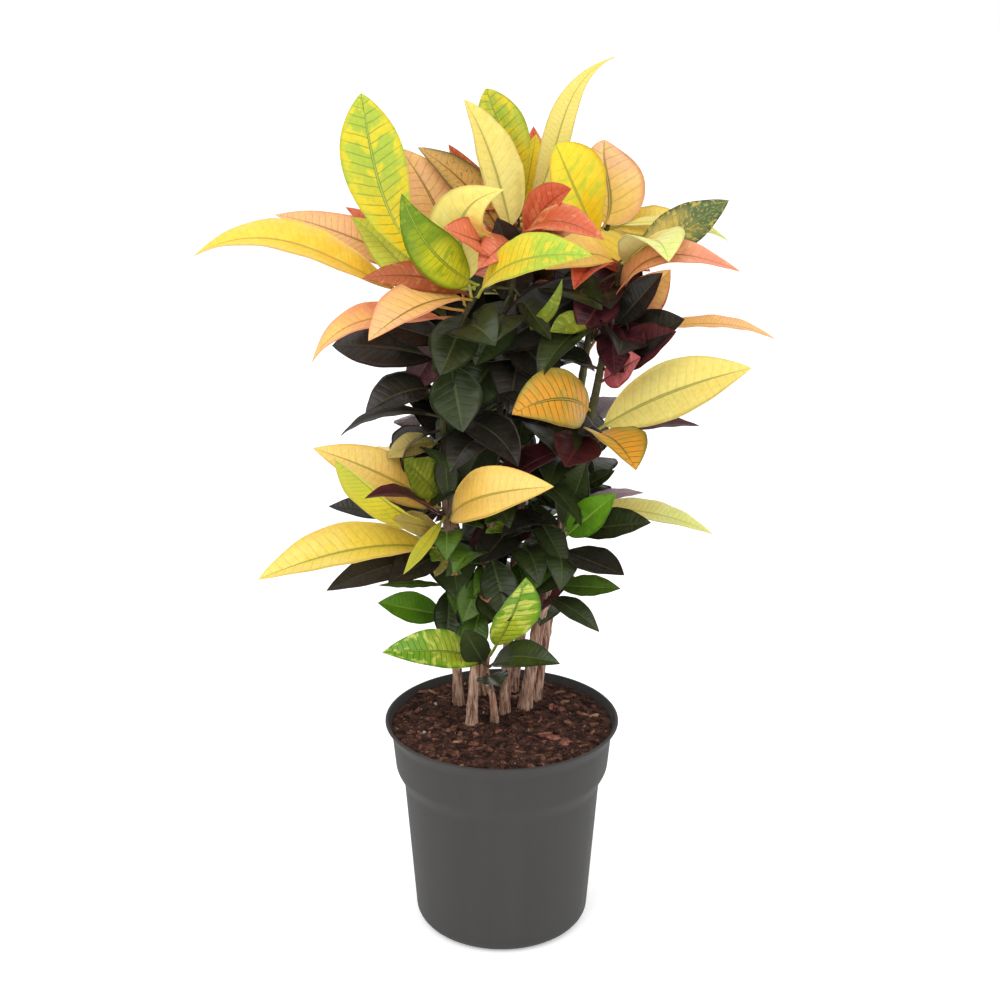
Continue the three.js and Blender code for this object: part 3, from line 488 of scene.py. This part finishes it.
class Shading:
    """A material's nodes, with short ways to add the kinds that recur."""

    def __init__(self, name, rough=0.5, specular=0.5):
        self.material = bpy.data.materials.new(name)
        self.material.use_nodes = True
        self.tree = self.material.node_tree
        self.surface = self.tree.nodes["Principled BSDF"]
        self.surface.inputs["Roughness"].default_value = rough
        self.surface.inputs["Specular IOR Level"].default_value = specular

    def node(self, kind, inputs=(), **settings):
        """A new node with its settings, and with what goes in at its sockets by place or name."""
        made = self.tree.nodes.new(kind)
        for key, value in settings.items():
            setattr(made, key, value)
        for key, value in inputs:
            self.feed(made.inputs[key], value)
        return made

    def feed(self, socket, value):
        if isinstance(value, bpy.types.NodeSocket):
            self.tree.links.new(value, socket)
        else:
            socket.default_value = value

    def paint(self, body):
        self.feed(self.surface.inputs["Base Color"], body)

    def math(self, operation, *values):
        return self.node("ShaderNodeMath", enumerate(values), operation=operation).outputs[0]

    def times(self, a, b):
        return self.math("MULTIPLY", a, b)

    def ramp(self, *values):
        """Smooth step of a value between a low and a high one, to 0 and 1 or to the two that follow."""
        made = self.node("ShaderNodeMapRange", enumerate(values), interpolation_type="SMOOTHSTEP")
        return made.outputs[0]

    def mix(self, share, a, b, blend="MIX"):
        """A mix of two colours, which go in at sockets 6 and 7 and come out at 2."""
        inputs = [("Factor", share), (6, a), (7, b)]
        return self.node("ShaderNodeMix", inputs, data_type="RGBA", blend_type=blend).outputs[2]

    def vector(self, *values):
        return self.node("ShaderNodeCombineXYZ", enumerate(values)).outputs[0]

    def split(self, vector):
        return self.node("ShaderNodeSeparateXYZ", [(0, vector)]).outputs

    def map(self, name):
        return self.split(self.node("ShaderNodeUVMap", uv_map=name).outputs[0])

    def noise(self, vector, scale, detail=2.0, rough=0.5):
        inputs = dict(Vector=vector, Scale=scale, Detail=detail, Roughness=rough)
        return self.node("ShaderNodeTexNoise", inputs.items()).outputs["Fac"]

    def bump(self, height, strength, distance):
        inputs = dict(Height=height, Strength=strength, Distance=distance)
        self.feed(self.surface.inputs["Normal"], self.node("ShaderNodeBump", inputs.items()).outputs[0])

    def place(self):
        return self.node("ShaderNodeTexCoord").outputs["Object"]


def leaf_material(name):
    """A waxy croton leaf. The blade map runs across (U) and from foot to tip (V), from 0 to 1 on the
    upper side; the lower side has U from 2 to 3, and the stalk has V at -1. The ruler map measures
    the same two ways in leaf widths."""
    _, codes, cover, veins, rough = LOOKS[name]
    foot, tip, edge, vein, patch, under, stalk = (colour(code) for code in codes.split())
    s = Shading("leaf_" + name, specular=0.3)
    u, v, _ = s.map("blade")
    out, along, _ = s.map("ruler")
    seed = s.node("ShaderNodeAttribute", attribute_type="OBJECT", attribute_name="seed").outputs["Fac"]
    lower = s.math("GREATER_THAN", u, 1.5)
    across = s.math("SUBTRACT", s.math("MULTIPLY_ADD", u, 2.0, -1.0), s.times(lower, 4.0))
    side = s.math("ABSOLUTE", across)
    spot = s.vector(out, along, seed)
    wobble = s.math("SUBTRACT", s.noise(spot, 2.2), 0.5)

    # Side veins leave the midrib by turns, lean forward and fade towards the edge.
    forward = s.times(s.math("ABSOLUTE", out), VEIN_LEAN / VEIN_SPACING)
    turns = s.times(along, 1 / VEIN_SPACING)
    turns = s.math("MULTIPLY_ADD", s.math("GREATER_THAN", out, 0.0), 0.4, turns)
    turns = s.math("MULTIPLY_ADD", wobble, 0.6, s.math("SUBTRACT", turns, forward))
    saw = s.math("FRACT", s.math("ADD", turns, 20.0))
    between = s.times(s.math("ABSOLUTE", s.math("SUBTRACT", saw, 0.5)), 2.0)
    fade = s.ramp(side, 0.5, 1.0, 1.0, 0.3)
    side_vein = s.times(s.ramp(between, 0.78, 1.0), fade)
    rib_width = s.math("MULTIPLY_ADD", v, -0.05, 0.085)
    rib = s.ramp(s.math("DIVIDE", side, rib_width), 0.5, 1.3, 1.0, 0.0)

    # Colour: foot to tip, then edge, patches along the veins, veins, lower side and stalk.
    blend = s.ramp(s.math("MULTIPLY_ADD", wobble, 0.5, v), 0.3, 0.75)
    body = s.mix(blend, foot, tip)
    body = s.mix(s.math("POWER", side, 4.0), body, edge)
    run = s.vector(s.times(side, 0.9), s.times(turns, 0.33), seed)
    streaks = s.noise(run, SPOT_SCALES.get(name, PATCH_SCALE), detail=3.0)
    patches = s.ramp(streaks, 0.64 - 0.3 * cover, 0.76 - 0.3 * cover)
    body = s.mix(s.times(patches, 0.75), body, patch)
    body = s.mix(s.times(side_vein, veins), body, vein)
    body = s.mix(s.times(rib, 0.9), body, vein)
    body = s.mix(s.times(lower, 0.85), body, under)
    body = s.mix(s.math("LESS_THAN", v, -0.5), body, stalk)
    mottle = s.noise(spot, 14.0, detail=3.0)
    grain = s.ramp(mottle, 0.2, 0.8, 0.92, 1.06)
    s.paint(s.mix(1.0, body, s.vector(grain, grain, grain), "MULTIPLY"))

    s.feed(s.surface.inputs["Roughness"], s.math("MULTIPLY_ADD", mottle, 0.14, rough - 0.07))
    quilt = s.times(s.math("SUBTRACT", 1.0, s.math("POWER", between, 3.0)), fade)
    height = s.math("MULTIPLY_ADD", rib, -1.2, quilt)
    s.bump(s.math("MULTIPLY_ADD", mottle, 0.25, height), 0.3, 0.0005)
    return s.material


def bark_material():
    """Tan bark with long cracks below, turning to smoother green-brown shoots above."""
    s = Shading("woody_bark", rough=0.85, specular=0.2)
    x, y, z = s.split(s.place())
    grain = s.noise(s.vector(x, y, s.times(z, 0.14)), 330.0, detail=6.0, rough=0.65)
    blotch = s.noise(s.vector(x, y, s.times(z, 0.45)), 85.0, detail=4.0)
    bark = s.mix(s.ramp(grain, 0.38, 0.62), colour("64463a"), colour("c4a28c"))
    bark = s.mix(s.times(s.ramp(blotch, 0.48, 0.66), 0.55), bark, colour("a06a54"))
    shoot = s.mix(s.ramp(blotch, 0.4, 0.65), colour("3e3a28"), colour("5c5a3c"))
    young = s.ramp(s.math("MULTIPLY_ADD", blotch, 0.1, z), 0.38, 0.5)
    s.paint(s.mix(young, bark, shoot))
    s.bump(s.math("MULTIPLY_ADD", blotch, 0.5, grain), 0.9, 0.0016)
    return s.material


def soil_material(name, dark, light):
    """Dull, rough peat or bark between two colours."""
    s = Shading(name, rough=0.95, specular=0.15)
    place = s.place()
    lumps = s.noise(place, 120.0, detail=5.0, rough=0.65)
    fine = s.noise(place, 900.0, detail=3.0)
    body = s.mix(s.ramp(lumps, 0.35, 0.68), colour(dark), colour(light))
    s.paint(s.mix(s.ramp(fine, 0.45, 0.7, 0.0, 0.5), body, colour(dark)))
    s.bump(s.math("ADD", lumps, s.times(fine, 0.4)), 0.9, 0.002)
    return s.material


def pot_material():
    """Matte injection-moulded plastic: faint flow lines, fine grain and light scuffs."""
    s = Shading("pot_plastic", specular=0.25)
    place = s.place()
    x, y, z = s.split(place)
    grain = s.noise(place, 1500.0, detail=2.0)
    flow = s.noise(s.vector(x, y, s.times(z, 0.08)), 45.0, detail=3.0)
    scuff = s.ramp(s.noise(place, 60.0, detail=6.0, rough=0.7), 0.66, 0.8)
    body = s.mix(s.ramp(flow, 0.3, 0.7), colour("383736"), colour("3c3b3a"))
    s.paint(s.mix(s.times(scuff, 0.12), body, colour("66655f")))
    s.feed(s.surface.inputs["Roughness"], s.ramp(flow, 0.3, 0.7, 0.6, 0.68))
    s.bump(s.math("MULTIPLY_ADD", flow, 0.6, grain), 0.2, 0.0003)
    return s.material


# ---- Mesh tools ----


def add_object(name, data):
    made = bpy.data.objects.new(name, data)
    bpy.context.scene.collection.objects.link(made)
    return made


def add_mesh(name, points, faces):
    """A mesh object without a look."""
    mesh = bpy.data.meshes.new(name)
    mesh.from_pydata(np.asarray(points).tolist(), [], faces)
    return add_object(name, mesh)


def add_piece(name, points, faces, material, maps=None):
    """A smooth-shaded mesh piece, given in millimetres, that rides on the part's one body."""
    piece = add_mesh(name, np.asarray(points) * MM, faces)
    mesh = piece.data
    mesh.materials.append(material)
    mesh.polygons.foreach_set("use_smooth", [True] * len(faces))
    if maps:
        corners = np.empty(len(mesh.loops), int)
        mesh.loops.foreach_get("vertex_index", corners)
        for title, places in maps.items():
            layer = mesh.uv_layers.new(name=title)
            layer.data.foreach_set("uv", np.asarray(places, np.float32)[corners].ravel())
    mesh.update()
    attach(piece, "root")
    return piece


def grid_faces(rows, columns, first=0, closed=False, flip=False):
    """Quads over a grid of points that is stored row by row."""
    row, column = np.meshgrid(np.arange(rows - 1), np.arange(columns if closed else columns - 1),
                              indexing="ij")
    a = (first + row * columns + column).ravel()
    b = (first + row * columns + (column + 1) % columns).ravel()
    quads = np.stack([a, b, b + columns, a + columns], axis=1)
    return (quads[:, ::-1] if flip else quads).tolist()


def solid_faces(rings, sides, first=0):
    """Faces round a stack of rings of points, with a flat cap on the first ring and on the last."""
    last = first + (rings - 1) * sides
    caps = [tuple(range(first, first + sides))[::-1], tuple(range(last, last + sides))]
    return grid_faces(rings, sides, first=first, closed=True) + caps


def tube(centres, across, back, radii, sides):
    """Rings of points round a row of centres, and the way out to each point."""
    angles = 2 * math.pi * np.arange(sides) / sides
    out = across[:, None] * np.cos(angles)[:, None] + back[:, None] * np.sin(angles)[:, None]
    return (centres[:, None] + out * radii[:, None, None]).reshape(-1, 3), out.reshape(-1, 3)


# ---- Stems ----

STEM_ROWS, STEM_SIDES = 180, 32
FOOT_SWELL, FOOT_SWELL_HEIGHT = 0.25, 12
LEAF_SCARS = 24
SCAR_SWELL, SCAR_LENGTH = 0.12, 0.004  # as shares of the stem's radius and length
RIDGE_HEIGHT, RIDGES_ROUND, RIDGES_UP = 0.9, 2.4, 0.022
FLAKE_HEIGHT, FLAKES_ROUND, FLAKES_UP = 0.6, 5, 0.06
OLD_BARK_TOP = 330  # above it the ridges and flakes are lower
YOUNG_RELIEF = 0.4
BUD_LENGTH = 1.4  # in radii of the stem's tip


def make_stem(name, material):
    """A stem with lengthwise ridges, a swollen foot and a raised ring at each old leaf scar."""
    dice = random.Random("stem " + name)
    shares = np.arange(STEM_ROWS) / (STEM_ROWS - 1)
    centres, along = stem_places(name, shares)
    across = square_to(np.array([1.0, 0, 0]), along)
    above = np.maximum(centres[:, 2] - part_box("soil")[1].z / MM, 0)
    swell = 1 + FOOT_SWELL * np.exp(-above / FOOT_SWELL_HEIGHT)
    for _ in range(LEAF_SCARS):
        swell += SCAR_SWELL * np.exp(-((shares - dice.uniform(0.1, 1)) / SCAR_LENGTH) ** 2)
    points, out = tube(centres, across, np.cross(along, across), stem_radius(name, shares) * swell,
                       STEM_SIDES)
    for index, (point, way) in enumerate(zip(points, out)):
        x, y, z = way[0], way[1], point[2]
        ridge = noise.noise(Vector((x * RIDGES_ROUND, y * RIDGES_ROUND, z * RIDGES_UP)))
        flake = noise.noise(Vector((x * FLAKES_ROUND, y * FLAKES_ROUND, z * FLAKES_UP + 9)))
        relief = 1.0 if z < OLD_BARK_TOP else YOUNG_RELIEF
        points[index] = point + way * relief * (RIDGE_HEIGHT * ridge + FLAKE_HEIGHT * flake)
    faces = grid_faces(STEM_ROWS, STEM_SIDES, closed=True)
    last = (STEM_ROWS - 1) * STEM_SIDES
    points = np.vstack([points, centres[-1] + along[-1] * STEM_TIP_RADIUS * BUD_LENGTH])
    faces += [(last + side, last + (side + 1) % STEM_SIDES, len(points) - 1) for side in range(STEM_SIDES)]
    faces.append(tuple(range(STEM_SIDES))[::-1])
    piece = add_piece("stem_" + name + "_bark", points, faces, material)
    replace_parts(piece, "stem_" + name)


def make_stems():
    bark = bark_material()
    for name in STEMS:
        make_stem(name, bark)


# ---- Leaves ----

BLADE_ROWS, HALF_COLUMNS = 30, 6
BLADE_THICKNESS = 0.5
STALK_SIDES = 8
STALK_ROOT = 0.5  # where the stalk starts, out from the stem's axis
STALK_RADIUS, MIDRIB_TAPER = 1.35, 1.1
STALK_SINK, MIDRIB_SINK = 0.3, 0.6  # below the blade: in mm, and in radii
MIDRIB_END = 0.93  # as a share of the leaf's length


def blade_faces(rows, columns):
    """Faces of the blade's upper side, of its lower side and of the rim between them."""
    count = rows * columns
    faces = grid_faces(rows, columns, flip=True) + grid_faces(rows, columns, first=count)
    index = np.arange(count).reshape(rows, columns)
    rim = np.concatenate([index[:, 0], index[-1, 1:], index[-2::-1, -1], index[0, -2:0:-1]])
    ahead = np.roll(rim, -1)
    return faces + np.stack([rim, ahead, ahead + count, rim + count], axis=1).tolist()


def stalk_points(leaf):
    """A round stalk that starts inside the stem and runs on under the blade as a raised midrib."""
    shares = np.append(np.linspace(0, leaf.stalk, 8), np.linspace(leaf.stalk, MIDRIB_END, 15)[1:])
    centres, across, over, _ = leaf.frames(shares)
    past = np.maximum(shares - leaf.stalk, 0) / (1 - leaf.stalk)
    radii = STALK_RADIUS - MIDRIB_TAPER * past
    centres -= over * np.where(past > 0, radii * MIDRIB_SINK, STALK_SINK)[:, None]
    root = leaf.axis + leaf.outward * STALK_ROOT
    centres, across, over = (np.vstack([first, rest]) for first, rest in
                             ((root, centres), (across[0], across), (over[0], over)))
    return tube(centres, across, over, np.append(STALK_WIDTH / 2, radii), STALK_SIDES)[0]


def make_leaf(materials, *row):
    """A thin curved blade, closed all round, and its stalk."""
    leaf = Leaf(*row)
    upper, blade_map, ruler_map = leaf.blade(BLADE_ROWS, HALF_COLUMNS)
    rows, columns = upper.shape[:2]
    normals = np.cross(np.gradient(upper, axis=0), np.gradient(upper, axis=1))
    lengths = np.maximum(np.linalg.norm(normals, axis=-1, keepdims=True), 1e-9)
    lower = upper - normals / lengths * BLADE_THICKNESS
    stalk = stalk_points(leaf)
    points = np.vstack([upper.reshape(-1, 3), lower.reshape(-1, 3), stalk])
    faces = blade_faces(rows, columns)
    faces += grid_faces(len(stalk) // STALK_SIDES, STALK_SIDES, first=2 * rows * columns, closed=True)
    on_stalk = np.full((len(stalk), 2), (0.5, -1.0))
    maps = {
        "blade": np.vstack([blade_map, blade_map + (2, 0), on_stalk]),
        "ruler": np.vstack([ruler_map, ruler_map, on_stalk]),
    }
    piece = add_piece("leaf_" + leaf.name + "_blade", points, faces, materials[leaf.look],
                      maps)
    piece["seed"] = leaf.dice.uniform(0.0, 40.0)
    return piece


def make_leaves():
    materials = {name: leaf_material(name) for name in LOOKS}
    for name, *rest in LEAVES:
        stem = name.rsplit("_", 1)[0]
        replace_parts(make_leaf(materials, name, stem, *rest), "leaf_" + name)
    small_rows = [(f"small_{number}", *row) for number, row in enumerate(SMALL_LEAVES, 1)]
    for row in small_rows + inner_rows():
        make_leaf(materials, *row)


# ---- Pot ----

POT_HEIGHT = 196
RIM_RADIUS = 105  # outer edge of the flared lip round the mouth
RIM_ROUND, RIM_INNER_ROUND = 1.1, 0.6
RIM_FLAT = 1.0  # the flat top between the rim's two round edges
LIP_SLANT = 26  # degrees from upright
LIP_FOOT = [(98.8, 181.5), (99.1, 184), (100, 186.5)]  # where the band turns out into the lip
BAND_FOOT_RADIUS, BAND_FOOT_HEIGHT = 96.2, 154
SHOULDER_RADIUS, SHOULDER_HEIGHT = 88.6, 134  # where the step has come in to the body
SHOULDER_TAPER = 1.5  # how far the body itself widens over the step
SHOULDER_STEPS, CORNER_STEPS = 13, 7
FOOT_RADIUS, FOOT_ROUND = 79.5, 11
FLOOR_RADIUS = 10  # of the flat middle of the floor
WALL = 2.2
POT_STEPS = 144
DRAIN_HOLES, DRAIN_HOLE_RADIUS, DRAIN_CIRCLE_RADIUS = 8, 5, 54
DRAIN_STEPS = 24


def turned(profile, steps):
    """A profile of radii and heights turned about the pot's axis into a closed solid."""
    angles = 2 * math.pi * np.arange(steps) / steps
    radii, heights = (np.array(profile, float)[:, i][:, None] for i in (0, 1))
    points = stacked(radii * np.cos(angles), radii * np.sin(angles), heights)
    return points, solid_faces(len(profile), steps)


def rounded(radius, height, round_off, start, end):
    """A round corner of a profile, from one angle to another in degrees."""
    return [(radius + round_off * math.cos(math.radians(angle)),
             height + round_off * math.sin(math.radians(angle)))
            for angle in np.linspace(start, end, CORNER_STEPS)]


def pot_profile():
    """The wall's outer side from the floor up to the rim, then its inner side back down."""
    step = BAND_FOOT_RADIUS - SHOULDER_RADIUS - SHOULDER_TAPER
    rise = BAND_FOOT_HEIGHT - SHOULDER_HEIGHT
    band = [(SHOULDER_RADIUS + SHOULDER_TAPER * t + step * t * t * (3 - 2 * t), SHOULDER_HEIGHT + rise * t)
            for t in np.linspace(0, 1, SHOULDER_STEPS)] + LIP_FOOT
    foot, rim = FOOT_RADIUS - FOOT_ROUND, RIM_RADIUS - RIM_ROUND
    return [
        (FLOOR_RADIUS, 0), *rounded(foot, FOOT_ROUND, FOOT_ROUND, -90, 0), *band,
        *rounded(rim, POT_HEIGHT - RIM_ROUND, RIM_ROUND, -LIP_SLANT, 90),
        *rounded(rim - RIM_FLAT, POT_HEIGHT - RIM_INNER_ROUND, RIM_INNER_ROUND, 90, 180 - LIP_SLANT),
        *[(radius - WALL, height) for radius, height in band[::-1]],
        *rounded(foot, FOOT_ROUND, FOOT_ROUND - WALL, 0, -90), (FLOOR_RADIUS, WALL),
    ]


def drain_drills():
    """Cutters that stand in a ring through the floor."""
    edge = [(DRAIN_HOLE_RADIUS, height) for height in (-5, 8)]
    drill, drill_faces = turned(edge, DRAIN_STEPS)
    points, faces = [], []
    for hole in range(DRAIN_HOLES):
        turn = (hole + 0.5) * 2 * math.pi / DRAIN_HOLES
        faces += [tuple(len(points) + i for i in face) for face in drill_faces]
        points += (drill + DRAIN_CIRCLE_RADIUS * np.array([math.cos(turn), math.sin(turn), 0])).tolist()
    return add_mesh("drills", points, faces)


def make_pot():
    """The turned wall with its flared lip, band and rounded foot, drilled through its floor."""
    wall = add_mesh("pot_wall", *turned(pot_profile(), POT_STEPS))
    cut = wall.modifiers.new("holes", "BOOLEAN")
    cut.operation = "DIFFERENCE"
    cut.object = drain_drills()
    drilled = bpy.data.meshes.new_from_object(wall.evaluated_get(bpy.context.evaluated_depsgraph_get()))
    points = np.array([vertex.co for vertex in drilled.vertices])
    faces = [tuple(face.vertices) for face in drilled.polygons]
    bpy.data.objects.remove(cut.object)
    bpy.data.objects.remove(wall)
    piece = add_piece("pot_body", points, faces, pot_material())
    piece.data.set_sharp_from_angle(angle=math.radians(35))
    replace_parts(piece, "pot")


# ---- Soil ----

GROUND_STEPS, GROUND_RINGS = 200, 90
GROUND_CROWN = 3  # how far the ground rises from its edge to its middle
GROUND_DEPTH = 20
GROUND_TAPER = 0.98
LUMP_HEIGHT, LUMPS_PER_METRE = 2.6, 70
GRAIN_HEIGHT, GRAINS_PER_METRE = 1.8, 190

# Corners of a chip's lower side and then of its upper side, in halves of its size.
CHIP_CORNERS = np.array([(x, y, z) for z in (-1, 1) for x, y in
                         ((-1, -0.4), (-0.3, -1), (0.6, -0.9), (1, 0.1), (0.5, 0.9), (-0.6, 0.8))])
CHIP_SIDES = len(CHIP_CORNERS) // 2
CHIP_WEAR = (0.6, 1.1)  # least and most that is left of a corner
CHIP_TILT, CHIP_PITCH = 0.45, 0.25  # most, in radians
CHIP_RISE = 0.3  # of its middle above the ground, in thicknesses
CHIP_REACH = 0.96  # as a share of the soil's radius
LEAST_THICKNESS = 0.8

# Kinds of pieces in the soil: how many, least and most length, width and thickness as shares of the
# length, and their dark and light colours.
SOIL_PIECES = {
    "crumbs": (2600, 1.0, 4.2, 0.8, 0.6, "2a1a15", "644438"),
    "bark_brown": (520, 3.0, 13.0, 0.45, 0.3, "3a241d", "805648"),
    "bark_red": (90, 3.0, 13.0, 0.45, 0.3, "6c4034", "a2705e"),
    "bark_tan": (46, 2.5, 8.0, 0.4, 0.3, "7c5c44", "ac8866"),
    "white_grains": (16, 1.0, 2.2, 0.9, 0.8, "a89e98", "d2cac4"),
}

# Single pieces that stand out: kind, place on the soil, length, width and the turn in degrees.
SOIL_MARKS = [
    ("bark_red", -72, 63, 17, 9, 10), ("bark_tan", -64, 60, 12, 7, -30), ("bark_tan", 59, 38, 9, 7, 0),
    ("bark_red", 76, 12, 16, 6, -35), ("bark_tan", 84, 8, 14, 4, 30), ("bark_red", 38, -30, 18, 9, 20),
    ("bark_red", 46, -36, 15, 8, -15), ("bark_red", 55, -44, 14, 8, 60), ("bark_tan", -36, -43, 14, 6, 5),
    ("bark_red", -26, -45, 14, 7, -20), ("white_grains", -69, -24, 4, 3, 0),
    ("white_grains", -61, 32, 3, 3, 0), ("bark_tan", -54, 48, 16, 1.6, -12),
]


def ground_height(x, y, radius, level):
    """Height of the ground, whose lumps die out at the wall."""
    share = math.hypot(x, y) / radius
    place = Vector((x, y, 0)) * MM
    lumps = noise.noise(place * LUMPS_PER_METRE) * LUMP_HEIGHT
    lumps += noise.noise(place * GRAINS_PER_METRE + Vector((5, 1, 2))) * GRAIN_HEIGHT
    return level - GROUND_CROWN * (1 - math.cos(share * math.pi / 2)) + lumps * min(1, (1.02 - share) * 8)


def make_ground(radius, level):
    """One round lump with a rough top."""
    ground = []
    for ring in range(GROUND_RINGS + 1):
        for angle in 2 * math.pi * np.arange(GROUND_STEPS) / GROUND_STEPS:
            reach = radius * ring / GROUND_RINGS
            x, y = reach * math.cos(angle), reach * math.sin(angle)
            ground.append((x, y, ground_height(x, y, radius, level)))
    rim = ground[-GROUND_STEPS:]
    ground += [(x * GROUND_TAPER, y * GROUND_TAPER, level - GROUND_DEPTH) for x, y, _ in rim]
    faces = grid_faces(GROUND_RINGS + 2, GROUND_STEPS, closed=True)
    faces.append(tuple(range(len(ground) - GROUND_STEPS, len(ground)))[::-1])
    piece = add_piece("soil_ground", ground, faces, soil_material("bark_soil", "241814", "5a3c32"))
    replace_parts(piece, "soil")


def chip(x, y, z, length, width, thickness, turn, dice):
    """Points of one broken-edged chip lying nearly flat."""
    shape = CHIP_CORNERS * np.array([length, width, thickness]) / 2
    shape *= np.array([[dice.uniform(*CHIP_WEAR) for _ in range(3)] for _ in CHIP_CORNERS])
    tilt = Matrix.Rotation(turn, 3, "Z")
    for most, axis in (CHIP_TILT, "X"), (CHIP_PITCH, "Y"):
        tilt @= Matrix.Rotation(dice.uniform(-most, most), 3, axis)
    return shape @ np.array(tilt).T + (x, y, z + thickness * CHIP_RISE)


def make_chips(kind, radius, level):
    """All loose pieces of one kind, strewn over the ground."""
    number, least, most, wide, thick, dark, light = SOIL_PIECES[kind]
    dice = random.Random(kind)
    rows = []
    for _ in range(number):
        reach, angle = radius * CHIP_REACH * math.sqrt(dice.random()), dice.uniform(0, 2 * math.pi)
        length = least + (most - least) * dice.random() ** 2
        rows.append((reach * math.cos(angle), reach * math.sin(angle), length, length * wide,
                     dice.uniform(0, 2 * math.pi)))
    rows += [(x, y, length, width, math.radians(turn))
             for marked, x, y, length, width, turn in SOIL_MARKS if marked == kind]
    points = [chip(x, y, ground_height(x, y, radius, level), length, width,
                   max(width * thick, LEAST_THICKNESS), turn, dice) for x, y, length, width, turn in rows]
    faces = []
    for index in range(len(points)):
        faces += solid_faces(2, CHIP_SIDES, first=index * 2 * CHIP_SIDES)
    look = soil_material("soil_" + kind, dark, light)
    piece = add_piece("soil_" + kind, np.vstack(points), faces, look)
    piece.data.set_sharp_from_angle(angle=math.radians(50))


def make_soil():
    """Rough peat with crumbs, bark chips and white grains lying on it."""
    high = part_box("soil")[1] / MM
    make_ground(high.x, high.z)
    for kind in SOIL_PIECES:
        make_chips(kind, high.x, high.z)


# ---- Stage ----

LENS = 54.7
CAMERA_PLACE = (-0.0016, -1.25, 0.797)
CAMERA_PITCH = 17.6  # degrees downwards
LIGHTS_AIM = Vector((0, 0, 0.4))
FLOOR_REACH = 30


def make_camera():
    data = bpy.data.cameras.new("camera")
    data.lens = LENS
    data.sensor_width = 36
    camera = add_object("camera", data)
    camera.location = CAMERA_PLACE
    camera.rotation_euler = (math.radians(90 - CAMERA_PITCH), 0, 0)
    bpy.context.scene.camera = camera


def add_area(name, place, size, power):
    """A square soft light that looks at the plant."""
    data = bpy.data.lights.new(name, "AREA")
    data.size = size
    data.energy = power
    lamp = add_object(name, data)
    lamp.location = place
    lamp.rotation_euler = (LIGHTS_AIM - Vector(place)).to_track_quat("-Z", "Y").to_euler()


def make_stage():
    """A white floor and sky, and two soft lights."""
    corners = [(x * FLOOR_REACH, y * FLOOR_REACH, 0) for x, y in ((-1, -1), (1, -1), (1, 1), (-1, 1))]
    floor = add_mesh("floor", corners, [(0, 1, 2, 3)])
    s = Shading("floor", rough=1.0, specular=0.0)
    s.paint((0.95, 0.95, 0.95, 1))
    s.surface.inputs["Emission Color"].default_value = (1, 1, 1, 1)
    s.surface.inputs["Emission Strength"].default_value = 0.3
    floor.data.materials.append(s.material)
    world = bpy.data.worlds.new("world")
    world.use_nodes = True
    world.node_tree.nodes["Background"].inputs[0].default_value = (1, 1, 1, 1)
    world.node_tree.nodes["Background"].inputs[1].default_value = 1.0
    bpy.context.scene.world = world
    add_area("key", (-1.2, -1.6, 2.4), 1.6, 22)
    add_area("fill", (1.6, -1.2, 1.6), 1.6, 9)
    bpy.context.scene.view_settings.view_transform = "Standard"


make_camera()
make_stage()
make_stems()
make_leaves()
make_soil()
make_pot()
